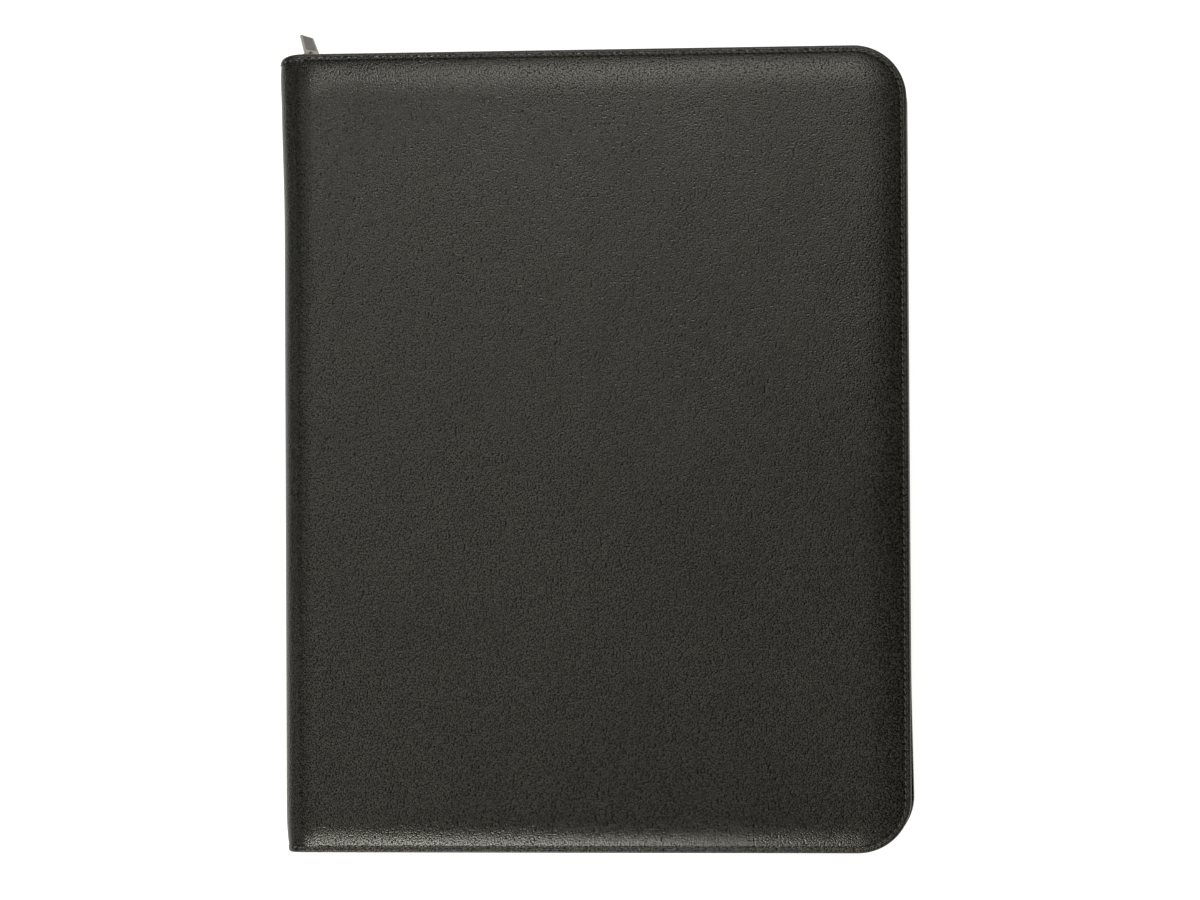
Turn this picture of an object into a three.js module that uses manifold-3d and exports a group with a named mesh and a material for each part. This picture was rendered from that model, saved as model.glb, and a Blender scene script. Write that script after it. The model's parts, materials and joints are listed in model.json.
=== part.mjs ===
// Zip-around portfolio case: padded leather covers joined by a spine, a zip round the three open sides,
// and a four-ring mechanism riveted inside the back cover.
// Millimetres, +Z up. The case lies closed on its back cover: X runs from the spine (-X) to the fore-edge
// (+X), Y from the foot (-Y) to the head (+Y). The origin is the centre of the closed case's footprint.

import * as THREE from "three";
import { mergeVertices } from "three/addons/utils/BufferGeometryUtils.js";
import Module from "manifold-3d";

const wasm = await Module();
wasm.setup();

// ---------------------------------------------------------------- driving dimensions

const CASE = { width: 268, height: 343, thick: 36, foreRadius: 22.8, spineRadius: 4.5 };
const RIGHT = CASE.width / 2;
const LEFT = -RIGHT;
const TOP = CASE.height / 2;
const FAR = 400; // past everything, for the solids that only cut

const WRAP = { outerArc: 9, leather: 1.2, spineDepth: 3.6, coreArc: 5 };
const CROWN = { width: 14, frontRise: 3, backRise: 2, frontInner: 1.4, backInner: 0.9 };
const RIM = { width: 3.8, frontUnder: 30.8, backOver: 4.4 }; // the turned, stitched edge of each cover
const GAP = 0.3; // between pieces that meet

const FRONT = { lining: [29.6, 30.1], flange: [30.2, 30.7], board: [30.9, 33.0], foam: [33.1, 33.3, 34.7] };
const BACK = { lining: [5.1, 5.6], flange: [4.5, 5.0], board: [2.2, 4.3], foam: [1.3, 2.0, 2.1] };
const PANEL_LEFT = LEFT + WRAP.outerArc + 0.5; // where boards, foams and linings start beside the spine

const ZIP = {
  inset: 2.6, // from the covers' edge to the middle of the tape
  tape: 0.6,
  flange: 4.4, // how far the tape runs in under the lining
  middle: (FRONT.flange[1] + BACK.flange[0]) / 2,
  rowGap: 1.2, // between the two rows of teeth
  row: 2.4, // height of one row
  rowThick: 2.0,
  start: LEFT + 4.4, // both ends of the tape, beside the spine
  rowStart: LEFT + 5.7,
};
const WALL_Y = TOP - ZIP.inset;

const SLIDER = {
  x: -124.4, length: 9.4, width: 8.4,
  inner: 1.35, outer: 2.25, // both faces of each plate, from the middle of the tape
  flange: 0.8, slit: 0.55, // the lips that hold the rows, and the slot between them for the tape
  mouth: 1.4, exit: 2.6, // how long its wide and its narrow end are
  notch: 0.9, post: [1.3, 3.4], postHalf: 0.35,
};
const BAIL = { rod: 0.55, out: 4.3, span: 6.8, bend: 1.0, flat: 1.2 };
const PULL = {
  droop: 90, twist: 25, lean: 30, // degrees: down from level, about its own length, towards the spine
  tilt: 28.6, // degrees that the tab lies out from the loop's own line, having slid round the loop's end
  wire: 0.5, loopRadius: 1.35, loopLength: 3.6,
  tabLength: 17.2, tabRoot: 6.6, tabTip: 5.8, tipSlant: 0.6, tabThick: 1.0,
  hole: 1.1, holeIn: 1.9, rootFlat: 1.4, rootSide: 0.6,
};
const STOP = { half: 1.2, short: 0.2 };

const RINGS = {
  x: LEFT + 22, base: BACK.lining[1] + 0.05, places: [-120, -40, 40, 120],
  radius: 8.8, wire: 1.3, centre: 10.9, rootX: 5.6, rootZ: 2.0,
};
const PLATE = {
  length: 284, half: 11, side: 2.2, shoulder: [3, 1.7], top: 5.7, sheet: 0.9, notch: 6.5, notchHalf: 5.5,
  ringSlot: [3.7, 8.4], ringSlotHalf: 2, lowest: 1, highest: 8, // where slots and holes are cut through
};
const BLADE = { length: 270, pivotX: 9.4, pivotZ: 1.6, inner: 0.3, thick: 0.9, slope: 4 };
const LEVER = { y: 139.3, z: 1.9, half: 4.5, pin: 0.8, bore: 1.05 };
const RIVET = {
  places: [-80, 80], shank: 1.7, hole: 2.0, head: 3.6, bladeNotch: 3.0,
  seat: 4.85, crown: 1.4, // where the head starts above the lining, and how high it is
};

const SPINE = { board: [1.4, 3.3], lining: [3.6, 4.1], liningMargin: 4.5 }; // depths in from the spine's face
const INSIDE = { sheet: 0.6, margin: 9, gap: 0.1 }; // pocket panels, and their distance from the covers' edge
const DOCUMENT = { left: -96, mouthLeft: 8, mouthRight: 48 }; // its mouth slopes up to the fore-edge
const PAD_LEFT = -90;
const CARD = { x: [-62, 36], top: 150, height: 58, step: 17, sheet: 0.55, pitch: 0.65 };
const PEN = { x: 119, y: [78, 102], radius: 5.6, wall: 0.8 }; // the loop; the pen slides in along Y

// ---------------------------------------------------------------- solids

function solidOf(geometry) {
  const plain = geometry.clone();
  plain.deleteAttribute("normal");
  plain.deleteAttribute("uv");
  const merged = mergeVertices(plain, 1e-4);
  return new wasm.Manifold(
    new wasm.Mesh({
      numProp: 3,
      vertProperties: new Float32Array(merged.attributes.position.array),
      triVerts: new Uint32Array(merged.index.array),
    }),
  );
}

function geometryOf(solid) {
  const mesh = solid.getMesh();
  const geometry = new THREE.BufferGeometry();
  geometry.setAttribute("position", new THREE.BufferAttribute(mesh.vertProperties, 3));
  geometry.setIndex(new THREE.BufferAttribute(mesh.triVerts, 1));
  return geometry;
}

const join = (first, ...rest) => rest.reduce((sum, s) => sum.add(s), first);
const cut = (first, ...rest) => rest.reduce((left, s) => left.subtract(s), first);
const meet = (first, ...rest) => rest.reduce((common, s) => common.intersect(s), first);

function box(x, y, z) {
  const g = new THREE.BoxGeometry(x[1] - x[0], y[1] - y[0], z[1] - z[0]);
  return solidOf(g.translate((x[0] + x[1]) / 2, (y[0] + y[1]) / 2, (z[0] + z[1]) / 2));
}

// A shape drawn in X and Y, standing from z[0] to z[1].
function prismZ(shape, z, curveSegments = 8) {
  const g = new THREE.ExtrudeGeometry(shape, { depth: z[1] - z[0], bevelEnabled: false, curveSegments });
  return solidOf(g.translate(0, 0, z[0]));
}

// A shape drawn in X and Z, running from y[0] to y[1].
function prismY(shape, y, curveSegments = 8) {
  const g = new THREE.ExtrudeGeometry(shape, { depth: y[1] - y[0], bevelEnabled: false, curveSegments });
  return solidOf(g.rotateX(Math.PI / 2).translate(0, y[1], 0));
}

// A shape drawn in Y and Z, running from x[0] to x[1].
function prismX(shape, x, curveSegments = 8) {
  const g = new THREE.ExtrudeGeometry(shape, { depth: x[1] - x[0], bevelEnabled: false, curveSegments });
  return solidOf(g.rotateZ(Math.PI / 2).rotateY(Math.PI / 2).translate(x[0], 0, 0));
}

function rodX(radius, x, y, z) {
  const g = new THREE.CylinderGeometry(radius, radius, x[1] - x[0], 12).rotateZ(Math.PI / 2);
  return solidOf(g.translate((x[0] + x[1]) / 2, y, z));
}

function rodZ(radius, x, y, z) {
  const g = new THREE.CylinderGeometry(radius, radius, z[1] - z[0], 16).rotateX(Math.PI / 2);
  return solidOf(g.translate(x, y, (z[0] + z[1]) / 2));
}

function polygon(points) {
  return new THREE.Shape(points.map(([a, b]) => new THREE.Vector2(a, b)));
}

// ---------------------------------------------------------------- outlines

// A cover's outline, a distance in from its edge, round at the fore-edge and cut square at x = left.
function coverOutline(inset, left) {
  const right = RIGHT - inset;
  const top = TOP - inset;
  const r = CASE.foreRadius - inset;
  const shape = new THREE.Shape();
  shape.moveTo(left, -top);
  shape.lineTo(right - r, -top);
  shape.absarc(right - r, -top + r, r, -Math.PI / 2, 0);
  shape.lineTo(right, top - r);
  shape.absarc(right - r, top - r, r, 0, Math.PI / 2);
  shape.lineTo(left, top);
  return shape;
}

// The band between two insets that runs round head, fore-edge and foot, open beside the spine.
function zipBand(outerInset, innerInset, left) {
  const outer = coverOutline(outerInset, left).getPoints(8);
  const inner = coverOutline(innerInset, left).getPoints(8).reverse();
  return new THREE.Shape([...outer, ...inner]);
}

// The whole closed case seen from above.
function caseOutline() {
  const r = CASE.spineRadius;
  const shape = coverOutline(0, LEFT + r);
  shape.absarc(LEFT + r, TOP - r, r, Math.PI / 2, Math.PI);
  shape.lineTo(LEFT, -TOP + r);
  shape.absarc(LEFT + r, -TOP + r, r, Math.PI, 1.5 * Math.PI);
  return shape;
}

// The case seen from its foot: a D on its side, round at the spine, shrunk on each side by the given amounts.
function sideProfile({ under, over, spine, radius }) {
  const x = LEFT + spine;
  const shape = new THREE.Shape();
  shape.moveTo(FAR, under);
  shape.lineTo(FAR, over);
  shape.lineTo(x + radius, over);
  shape.absarc(x + radius, over - radius, radius, Math.PI / 2, Math.PI);
  shape.lineTo(x, under + radius);
  shape.absarc(x + radius, under + radius, radius, Math.PI, 1.5 * Math.PI);
  return shape;
}

// A plate whose faces curve down to its edge as padding does, on both sides.
function paddedPlate(inset, crownWidth, zUnder, riseUnder, zOver, riseOver) {
  const half = (rise, depth) => {
    const g = new THREE.ExtrudeGeometry(coverOutline(inset + crownWidth, LEFT - 2 * CROWN.width), {
      depth,
      bevelSize: crownWidth,
      bevelThickness: rise,
      bevelSegments: 5,
      curveSegments: 8,
    });
    return g;
  };
  const depth = zOver - riseOver - zUnder - riseUnder;
  const upper = solidOf(half(riseOver, depth).translate(0, 0, zUnder + riseUnder));
  const lower = solidOf(half(riseUnder, depth).translate(0, 0, zUnder + riseUnder));
  const middle = zUnder + riseUnder + depth / 2;
  const all = [-FAR, FAR];
  return join(meet(upper, box(all, all, [middle, FAR])), meet(lower, box(all, all, [-FAR, middle])));
}

// ---------------------------------------------------------------- leather wrap

const arcCentre = { x: LEFT + WRAP.outerArc, low: WRAP.outerArc, high: CASE.thick - WRAP.outerArc };

// The hollow of the wrap, seen from the foot; the ends of the zip stay a gap clear of it.
function wrapHollow(clearance, spineClearance) {
  const profile = sideProfile({
    under: RIM.backOver + clearance,
    over: RIM.frontUnder - clearance,
    spine: WRAP.spineDepth + spineClearance,
    radius: WRAP.coreArc,
  });
  return prismY(profile, [-FAR, FAR]);
}

const wrapSide = (t) =>
  prismY(
    sideProfile({ under: t, over: CASE.thick - t, spine: t, radius: WRAP.outerArc - t }),
    [-FAR, FAR],
  );

// The outer skin with its solid turned edge: hollow where the foams and boards go.
function coverWrap() {
  const t = WRAP.leather;
  const outer = meet(
    prismZ(caseOutline(), [-1, CASE.thick + 1]),
    wrapSide(0),
    paddedPlate(0, CROWN.width, 0, CROWN.backRise, CASE.thick, CROWN.frontRise),
  );
  const padding = meet(
    wrapSide(t),
    paddedPlate(RIM.width, CROWN.width - RIM.width, t, CROWN.backInner, CASE.thick - t, CROWN.frontInner),
  );
  return cut(outer, padding, wrapHollow(0, 0));
}

function spineWrap() {
  const inside = TOP - RIM.width;
  const outer = meet(prismZ(caseOutline(), [-1, CASE.thick + 1]), wrapSide(0));
  const padding = meet(wrapSide(WRAP.leather), box([-FAR, FAR], [-inside, inside], [-FAR, FAR]));
  return cut(outer, padding, wrapHollow(0, 0));
}

// The wrap creases where the covers meet the spine, on 45 degree lines through its round corners' middles.
const CREASE = GAP / Math.SQRT2;

function coverRegion(front) {
  const sign = front ? 1 : -1;
  const z = front ? arcCentre.high : arcCentre.low;
  const x = arcCentre.x + CREASE;
  const points = [[x, z], [FAR, z], [FAR, z + sign * FAR], [x - FAR, z + sign * FAR]];
  return prismY(polygon(front ? points : points.reverse()), [-FAR, FAR]);
}

function spineRegion() {
  const { low, high } = arcCentre;
  const x = arcCentre.x - CREASE;
  return prismY(
    polygon([[x, low], [x, high], [x - FAR, high + FAR], [x - FAR, low - FAR]].reverse()),
    [-FAR, FAR],
  );
}

// ---------------------------------------------------------------- covers and spine

function coverPlate(z, inset) {
  return prismZ(coverOutline(inset, PANEL_LEFT), z);
}

function coverFoam([under, edge, over], inset, crownUp) {
  const width = CROWN.width - inset;
  const rise = crownUp ? over - edge : edge - under;
  const plate = crownUp
    ? paddedPlate(inset, width, under - 2 * rise, rise, over, rise)
    : paddedPlate(inset, width, under, rise, over + 2 * rise, rise);
  return meet(plate, box([PANEL_LEFT, FAR], [-FAR, FAR], [under, over]));
}

function spineBar(x, halfY, z) {
  return box([LEFT + x[0], LEFT + x[1]], [-halfY, halfY], z);
}

// ---------------------------------------------------------------- zip

const TAPE_BAND = [ZIP.inset - ZIP.tape / 2, ZIP.inset + ZIP.tape / 2];
const ROW_BAND = [ZIP.inset - ZIP.rowThick / 2, ZIP.inset + ZIP.rowThick / 2];
const ROW = {
  back: [ZIP.middle - ZIP.rowGap / 2 - ZIP.row, ZIP.middle - ZIP.rowGap / 2],
  front: [ZIP.middle + ZIP.rowGap / 2, ZIP.middle + ZIP.rowGap / 2 + ZIP.row],
};
const SLIDER_RIGHT = SLIDER.x + SLIDER.length / 2;

// The cover swings off over the parked slider about the lower crease, so the front half of the zip starts
// where its first tooth passes outside the slider's upper corner.
const FOLD = { x: LEFT + 1.93, z: 1.93 };
const FRONT_START = (() => {
  const corner = Math.hypot(SLIDER_RIGHT - FOLD.x, ZIP.middle + SLIDER.width / 2 - FOLD.z) + GAP;
  return FOLD.x + Math.sqrt(corner ** 2 - (ROW.front[0] - FOLD.z) ** 2);
})();

function zipTape(flange, wall) {
  const tape = join(
    prismZ(zipBand(...TAPE_BAND, ZIP.start), wall),
    prismZ(zipBand(TAPE_BAND[0], TAPE_BAND[0] + ZIP.flange + ZIP.tape, ZIP.start), flange),
  );
  return meet(tape, wrapHollow(0.1, GAP));
}

// The front tape is trimmed away round the parked slider, so that the cover lifts clear of it.
function frontTape() {
  const lower = ROW.front[1] + 0.05;
  const trimmed = box(
    [-FAR, FRONT_START],
    [WALL_Y - 3, FAR],
    [0, ZIP.middle + SLIDER.width / 2 + 0.5],
  );
  return cut(zipTape(FRONT.flange, [lower, FRONT.flange[1]]), trimmed);
}

function zipRow(z, headStart) {
  const row = prismZ(zipBand(...ROW_BAND, ZIP.rowStart), z);
  return headStart === undefined ? row : cut(row, box([-FAR, headStart], [0, FAR], [0, FAR]));
}

function zipStop(y, z) {
  return box([ZIP.start, ZIP.rowStart - STOP.short], [y - STOP.half, y + STOP.half], z);
}

// Local axes: X along the zip, Y out of the case, Z across the zip; the narrow end is at +X.
function zipSlider() {
  const half = SLIDER.length / 2;
  const wide = SLIDER.width / 2;
  const plateShape = (() => {
    const s = new THREE.Shape();
    const narrow = wide - 0.9 * SLIDER.exit;
    s.moveTo(-half, -wide + SLIDER.mouth);
    s.lineTo(-half + SLIDER.mouth, -wide);
    s.lineTo(half - SLIDER.exit, -wide);
    s.quadraticCurveTo(half, -wide, half, -narrow);
    s.lineTo(half, narrow);
    s.quadraticCurveTo(half, wide, half - SLIDER.exit, wide);
    s.lineTo(-half + SLIDER.mouth, wide);
    s.lineTo(-half, wide - SLIDER.mouth);
    s.lineTo(-half, SLIDER.notch);
    s.lineTo(-half + SLIDER.notch, 0);
    s.lineTo(-half, -SLIDER.notch);
    return s;
  })();
  // prismZ stands the plate along Z; turning it about X lays its thickness along Y.
  const slab = (y) => {
    const depth = y[1] - y[0];
    const g = new THREE.ExtrudeGeometry(plateShape, { depth, bevelEnabled: false, curveSegments: 4 });
    return solidOf(g.rotateX(Math.PI / 2).translate(0, y[1], 0));
  };
  const outerPlate = slab([SLIDER.inner, SLIDER.outer]);
  const innerPlate = slab([-SLIDER.outer, -SLIDER.inner]);
  const lips = [-1, 1].flatMap((across) =>
    [-1, 1].map((side) => {
      const z = [wide - SLIDER.flange, wide].map((v) => across * v).sort((a, b) => a - b);
      const y = [SLIDER.slit, SLIDER.outer].map((v) => side * v).sort((a, b) => a - b);
      return box([-half + SLIDER.mouth, half - SLIDER.exit], y, z);
    }),
  );
  const post = box(
    SLIDER.post.map((x) => x - half),
    [-SLIDER.outer, SLIDER.outer],
    [-SLIDER.postHalf, SLIDER.postHalf],
  );
  return join(outerPlate, innerPlate, ...lips, post, bail());
}

// A round rod standing on two legs, for the pull to hang from.
function bail() {
  const legX = BAIL.span / 2;
  const foot = SLIDER.outer - BAIL.rod; // the legs are sunk into the plate
  const half = [
    new THREE.Vector3(BAIL.flat, BAIL.out, 0),
    new THREE.Vector3(legX - BAIL.bend, BAIL.out - 0.15 * BAIL.bend, 0),
    new THREE.Vector3(legX, (foot + BAIL.out) / 2, 0),
    new THREE.Vector3(legX + BAIL.rod, foot, 0),
  ];
  const mirrored = half.map((p) => new THREE.Vector3(-p.x, p.y, p.z)).reverse();
  const curve = new THREE.CatmullRomCurve3([...mirrored, ...half]);
  return alongPath(curve, BAIL.rod, 22, 8);
}

function alongPath(curve, radius, steps, sides) {
  const section = new THREE.Shape();
  section.absarc(0, 0, radius, 0, 2 * Math.PI);
  const g = new THREE.ExtrudeGeometry(section, { steps, extrudePath: curve, curveSegments: sides / 2 });
  return solidOf(g);
}

// Local axes for the pull: Y outwards along it, X across the tab, Z through it; the origin is the bail's rod.
function pullLink() {
  const { loopRadius: r, loopLength: length, wire } = PULL;
  const ring = (radius) => {
    const s = new THREE.Shape();
    s.absarc(0, 0, radius, Math.PI, 2 * Math.PI);
    s.absarc(0, length, radius, 0, Math.PI);
    return s;
  };
  const outline = ring(r + wire);
  outline.holes.push(ring(r - wire));
  const g = new THREE.ExtrudeGeometry(outline, { depth: 2 * wire, bevelEnabled: false, curveSegments: 10 });
  return solidOf(g.translate(0, 0, -wire).rotateY(Math.PI / 2));
}

// The tab's own origin is the middle of the wire that it hangs on.
function pullTab() {
  const { tabLength, tabRoot, tabTip, tipSlant, holeIn, hole, tabThick, rootFlat, rootSide } = PULL;
  const end = tabLength - holeIn;
  const shape = new THREE.Shape();
  shape.moveTo(-tabTip / 2, end + tipSlant);
  shape.lineTo(-tabRoot / 2, rootSide);
  shape.quadraticCurveTo(-tabRoot / 2, -holeIn, -rootFlat, -holeIn);
  shape.lineTo(rootFlat, -holeIn);
  shape.quadraticCurveTo(tabRoot / 2, -holeIn, tabRoot / 2, rootSide);
  shape.lineTo(tabTip / 2, end - tipSlant);
  const bore = new THREE.Path();
  bore.absarc(0, 0, hole, 0, 2 * Math.PI);
  shape.holes.push(bore);
  const g = new THREE.ExtrudeGeometry(shape, { depth: tabThick, bevelEnabled: false, curveSegments: 8 });
  return solidOf(g.translate(0, 0, -tabThick / 2));
}

// ---------------------------------------------------------------- ring mechanism
// Local axes: the origin is on the lining, halfway along the mechanism.

function archShape(inner) {
  const t = inner ? PLATE.sheet : 0;
  const half = PLATE.half - t;
  const foot = inner ? -1 : 0;
  const [across, up] = PLATE.shoulder;
  const corner = PLATE.side + 0.7 * up - t;
  const shape = new THREE.Shape();
  shape.moveTo(-half, foot);
  shape.lineTo(-half, PLATE.side - t);
  shape.quadraticCurveTo(-half, corner, -half + across, PLATE.side + up - t);
  shape.quadraticCurveTo(0, PLATE.top - t, half - across, PLATE.side + up - t);
  shape.quadraticCurveTo(half, corner, half, PLATE.side - t);
  shape.lineTo(half, foot);
  return shape;
}

const ringFromRoot = (side, y) => {
  const angle = (degrees) => {
    const a = THREE.MathUtils.degToRad(degrees);
    return new THREE.Vector3(side * RINGS.radius * Math.cos(a), y, RINGS.centre + RINGS.radius * Math.sin(a));
  };
  const tip = THREE.MathUtils.radToDeg(Math.acos(0.15 / RINGS.radius));
  return new THREE.CatmullRomCurve3([
    new THREE.Vector3(side * RINGS.rootX, y, RINGS.rootZ),
    new THREE.Vector3(side * RINGS.rootX, y, RINGS.rootZ + 1.2),
    ...[-38, -16, 8, 32, 56, 74, tip].map(angle),
  ]);
};

function ringPlate() {
  const ends = [-PLATE.length / 2, PLATE.length / 2];
  const through = [PLATE.lowest, PLATE.highest];
  let plate = cut(prismY(archShape(false), ends, 6), prismY(archShape(true), [-FAR, FAR], 6));
  for (const y of RINGS.places)
    for (const side of [-1, 1]) {
      const x = PLATE.ringSlot.map((v) => side * v).sort((a, b) => a - b);
      plate = cut(plate, box(x, [y - PLATE.ringSlotHalf, y + PLATE.ringSlotHalf], through));
    }
  for (const y of RIVET.places) plate = cut(plate, rodZ(RIVET.hole, 0, y, through));
  for (const end of [-1, 1]) {
    const y = [ends[1] - PLATE.notch, FAR].map((v) => end * v).sort((a, b) => a - b);
    plate = cut(plate, box([-PLATE.notchHalf, PLATE.notchHalf], y, through));
    plate = cut(plate, rodX(LEVER.bore, [-FAR, FAR], end * LEVER.y, LEVER.z));
  }
  return plate;
}

function ringBlade(side) {
  const length = BLADE.pivotX - BLADE.inner;
  const flat = box([0, length], [-BLADE.length / 2, BLADE.length / 2], [-BLADE.thick / 2, BLADE.thick / 2]);
  const g = geometryOf(flat);
  // From the pivot at the plate's rim, down towards the middle.
  g.rotateZ(Math.PI).rotateY(THREE.MathUtils.degToRad(-BLADE.slope)).translate(BLADE.pivotX, 0, BLADE.pivotZ);
  if (side < 0) g.rotateZ(Math.PI);
  let blade = solidOf(g);
  for (const y of RIVET.places) blade = cut(blade, rodZ(RIVET.bladeNotch, 0, y, [-2, 6]));
  return blade;
}

function lever(end) {
  const { y, z } = LEVER;
  const side = polygon([
    [y - 2.6, z - 1.4], [y + 1.3, z - 1.1], [y + 3.2, z + 1.0], [y + 6.6, z + 5.2], [y + 10.4, z + 7.2],
    [y + 10.8, z + 8.5], [y + 5.8, z + 6.6], [y + 1.6, z + 2.0], [y - 0.6, z + 1.3], [y - 2.6, z - 0.3],
  ]);
  const body = cut(
    prismX(side, [-LEVER.half, LEVER.half]),
    rodX(LEVER.bore, [-FAR, FAR], y, z),
  );
  return end > 0 ? body : solidOf(geometryOf(body).rotateZ(Math.PI));
}

function rivet(y) {
  const { seat, crown } = RIVET;
  const foot = BACK.board[0] - RINGS.base + 0.2;
  const profile = [
    [0, foot], [RIVET.shank, foot], [RIVET.shank, seat], [RIVET.head, seat],
    [0.92 * RIVET.head, seat + 0.45 * crown], [0.67 * RIVET.head, seat + 0.8 * crown],
    [0.33 * RIVET.head, seat + crown], [0, seat + crown],
  ].map(([r, z]) => new THREE.Vector2(r, z));
  return solidOf(new THREE.LatheGeometry(profile, 16).rotateX(Math.PI / 2).translate(0, y, 0));
}

// ---------------------------------------------------------------- pockets

function frontPocket(z) {
  const right = RIGHT - INSIDE.margin;
  const foot = -TOP + INSIDE.margin;
  const r = CASE.foreRadius - INSIDE.margin;
  const shape = new THREE.Shape();
  shape.moveTo(DOCUMENT.left, foot);
  shape.lineTo(right - r, foot);
  shape.absarc(right - r, foot + r, r, -Math.PI / 2, 0);
  shape.lineTo(right, DOCUMENT.mouthRight);
  shape.lineTo(DOCUMENT.left, DOCUMENT.mouthLeft);
  return prismZ(shape, z);
}

function cardSlot(level) {
  const top = CARD.top - CARD.step * level;
  const z = FRONT.lining[0] - INSIDE.gap - level * CARD.pitch;
  return box(CARD.x, [top - CARD.height, top], [z - CARD.sheet, z]);
}

function backPocket(z) {
  return prismZ(coverOutline(INSIDE.margin, PAD_LEFT), z);
}

// An elastic loop hanging under the front lining.
function penLoop() {
  const z = FRONT.lining[0] - INSIDE.gap - PEN.radius;
  const ring = (r) => {
    const s = new THREE.Shape();
    s.absarc(PEN.x, z, r, 0, 2 * Math.PI);
    return s;
  };
  return cut(prismY(ring(PEN.radius), PEN.y, 10), prismY(ring(PEN.radius - PEN.wall), [-FAR, FAR], 10));
}

// ---------------------------------------------------------------- assembly

const FINISH = {
  leather: { color: 0x2b2a28, roughness: 0.5, metalness: 0 },
  board: { color: 0x8a8073, roughness: 0.9, metalness: 0 },
  foam: { color: 0x4a4a4c, roughness: 0.95, metalness: 0 },
  lining: { color: 0x1c1c1e, roughness: 0.85, metalness: 0 },
  tape: { color: 0x151515, roughness: 0.9, metalness: 0 },
  teeth: { color: 0x1a1a1a, roughness: 0.45, metalness: 0 },
  metal: { color: 0x8e8a85, roughness: 0.3, metalness: 1 },
  steel: { color: 0xc4c4c6, roughness: 0.22, metalness: 1 },
};

const SLIVER = 0.01; // faces thinner than this are merged into their neighbours

function part(name, solid, finish) {
  const material = new THREE.MeshStandardMaterial(FINISH[finish]);
  const mesh = new THREE.Mesh(geometryOf(solid.simplify(SLIVER)), material);
  mesh.name = name;
  return mesh;
}

function frontCover(wrap) {
  const group = new THREE.Group();
  const under = FRONT.lining[0] - INSIDE.gap;
  group.add(
    part("front_leather", meet(wrap, coverRegion(true)), "leather"),
    part("front_foam", coverFoam(FRONT.foam, RIM.width + GAP, true), "foam"),
    part("front_board", coverPlate(FRONT.board, RIM.width + GAP), "board"),
    part("front_lining", coverPlate(FRONT.lining, TAPE_BAND[1] + GAP), "lining"),
    part("front_pocket", frontPocket([under - INSIDE.sheet, under]), "lining"),
    part("card_slot_upper", cardSlot(0), "leather"),
    part("card_slot_middle", cardSlot(1), "leather"),
    part("card_slot_lower", cardSlot(2), "leather"),
    part("pen_loop", penLoop(), "tape"),
    part("zip_tape_front", frontTape(), "tape"),
    part("zip_teeth_front", zipRow(ROW.front, FRONT_START), "teeth"),
  );
  return group;
}

function backCover(wrap) {
  const group = new THREE.Group();
  const over = BACK.lining[1] + INSIDE.gap;
  const bore = [BACK.board[0] - 1, PLATE.highest];
  const rivetHoles = RIVET.places.map((y) => rodZ(RIVET.hole, RINGS.x, y, bore));
  const tape = zipTape(BACK.flange, [BACK.flange[0], ROW.back[0] - 0.05]);
  group.add(
    part("back_leather", meet(wrap, coverRegion(false)), "leather"),
    part("back_foam", coverFoam(BACK.foam, RIM.width + GAP, false), "foam"),
    part("back_board", cut(coverPlate(BACK.board, RIM.width + GAP), ...rivetHoles), "board"),
    part("back_lining", cut(coverPlate(BACK.lining, TAPE_BAND[1] + GAP), ...rivetHoles), "lining"),
    part("back_pocket", backPocket([over, over + INSIDE.sheet]), "lining"),
    part("zip_tape_back", tape, "tape"),
    part("zip_teeth_back", zipRow(ROW.back), "teeth"),
    part("zip_head_stop", zipStop(WALL_Y, [ROW.back[0] + 0.1, ZIP.middle - 0.4]), "metal"),
    part("zip_foot_stop", zipStop(-WALL_Y, [ROW.back[0] + 0.1, ZIP.middle + 0.8]), "metal"),
  );
  return group;
}

function spine() {
  const group = new THREE.Group();
  const { low, high } = arcCentre;
  group.add(
    part("spine_leather", meet(spineWrap(), spineRegion()), "leather"),
    part("spine_board", spineBar(SPINE.board, TOP - RIM.width - GAP, [low + GAP, high - GAP]), "board"),
    part("spine_lining", spineBar(SPINE.lining, TOP - SPINE.liningMargin, [low, high]), "lining"),
  );
  return group;
}

function zipPull() {
  const rad = THREE.MathUtils.degToRad;
  const pull = new THREE.Group();
  pull.position.set(SLIDER.x, WALL_Y + BAIL.out, ZIP.middle);
  pull.rotation.set(-rad(PULL.droop), rad(PULL.twist), 0);
  const tab = part("pull_tab", pullTab(), "metal");
  const tilt = rad(PULL.tilt);
  const round = PULL.loopRadius;
  tab.position.set(0, PULL.loopLength + round * Math.cos(tilt), round * Math.sin(tilt));
  tab.rotation.set(tilt, 0, rad(PULL.lean));
  pull.add(part("pull_link", pullLink(), "metal"), tab);
  return pull;
}

function slider() {
  const mesh = part("zip_slider", zipSlider(), "metal");
  mesh.position.set(SLIDER.x, WALL_Y, ZIP.middle);
  return mesh;
}

function ringMechanism() {
  const group = new THREE.Group();
  group.position.set(RINGS.x, 0, RINGS.base);
  group.add(part("ring_plate", ringPlate(), "steel"));
  for (const [name, side] of [["left", -1], ["right", 1]]) {
    group.add(part(`ring_blade_${name}`, ringBlade(side), "steel"));
    RINGS.places.forEach((y, i) =>
      group.add(part(`ring_${name}_${i + 1}`, alongPath(ringFromRoot(side, y), RINGS.wire, 16, 8), "steel")),
    );
  }
  for (const [name, end] of [["head", 1], ["foot", -1]])
    group.add(
      part(`lever_${name}`, lever(end), "steel"),
      part(`lever_pin_${name}`, rodX(LEVER.pin, [-PLATE.half, PLATE.half], end * LEVER.y, LEVER.z), "steel"),
      part(`rivet_${name}`, rivet(end * RIVET.places[1]), "steel"),
    );
  return group;
}

const wrap = coverWrap();
const portfolio = new THREE.Group();
portfolio.add(frontCover(wrap), backCover(wrap), spine(), slider(), zipPull(), ringMechanism());

export default portfolio;
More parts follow.
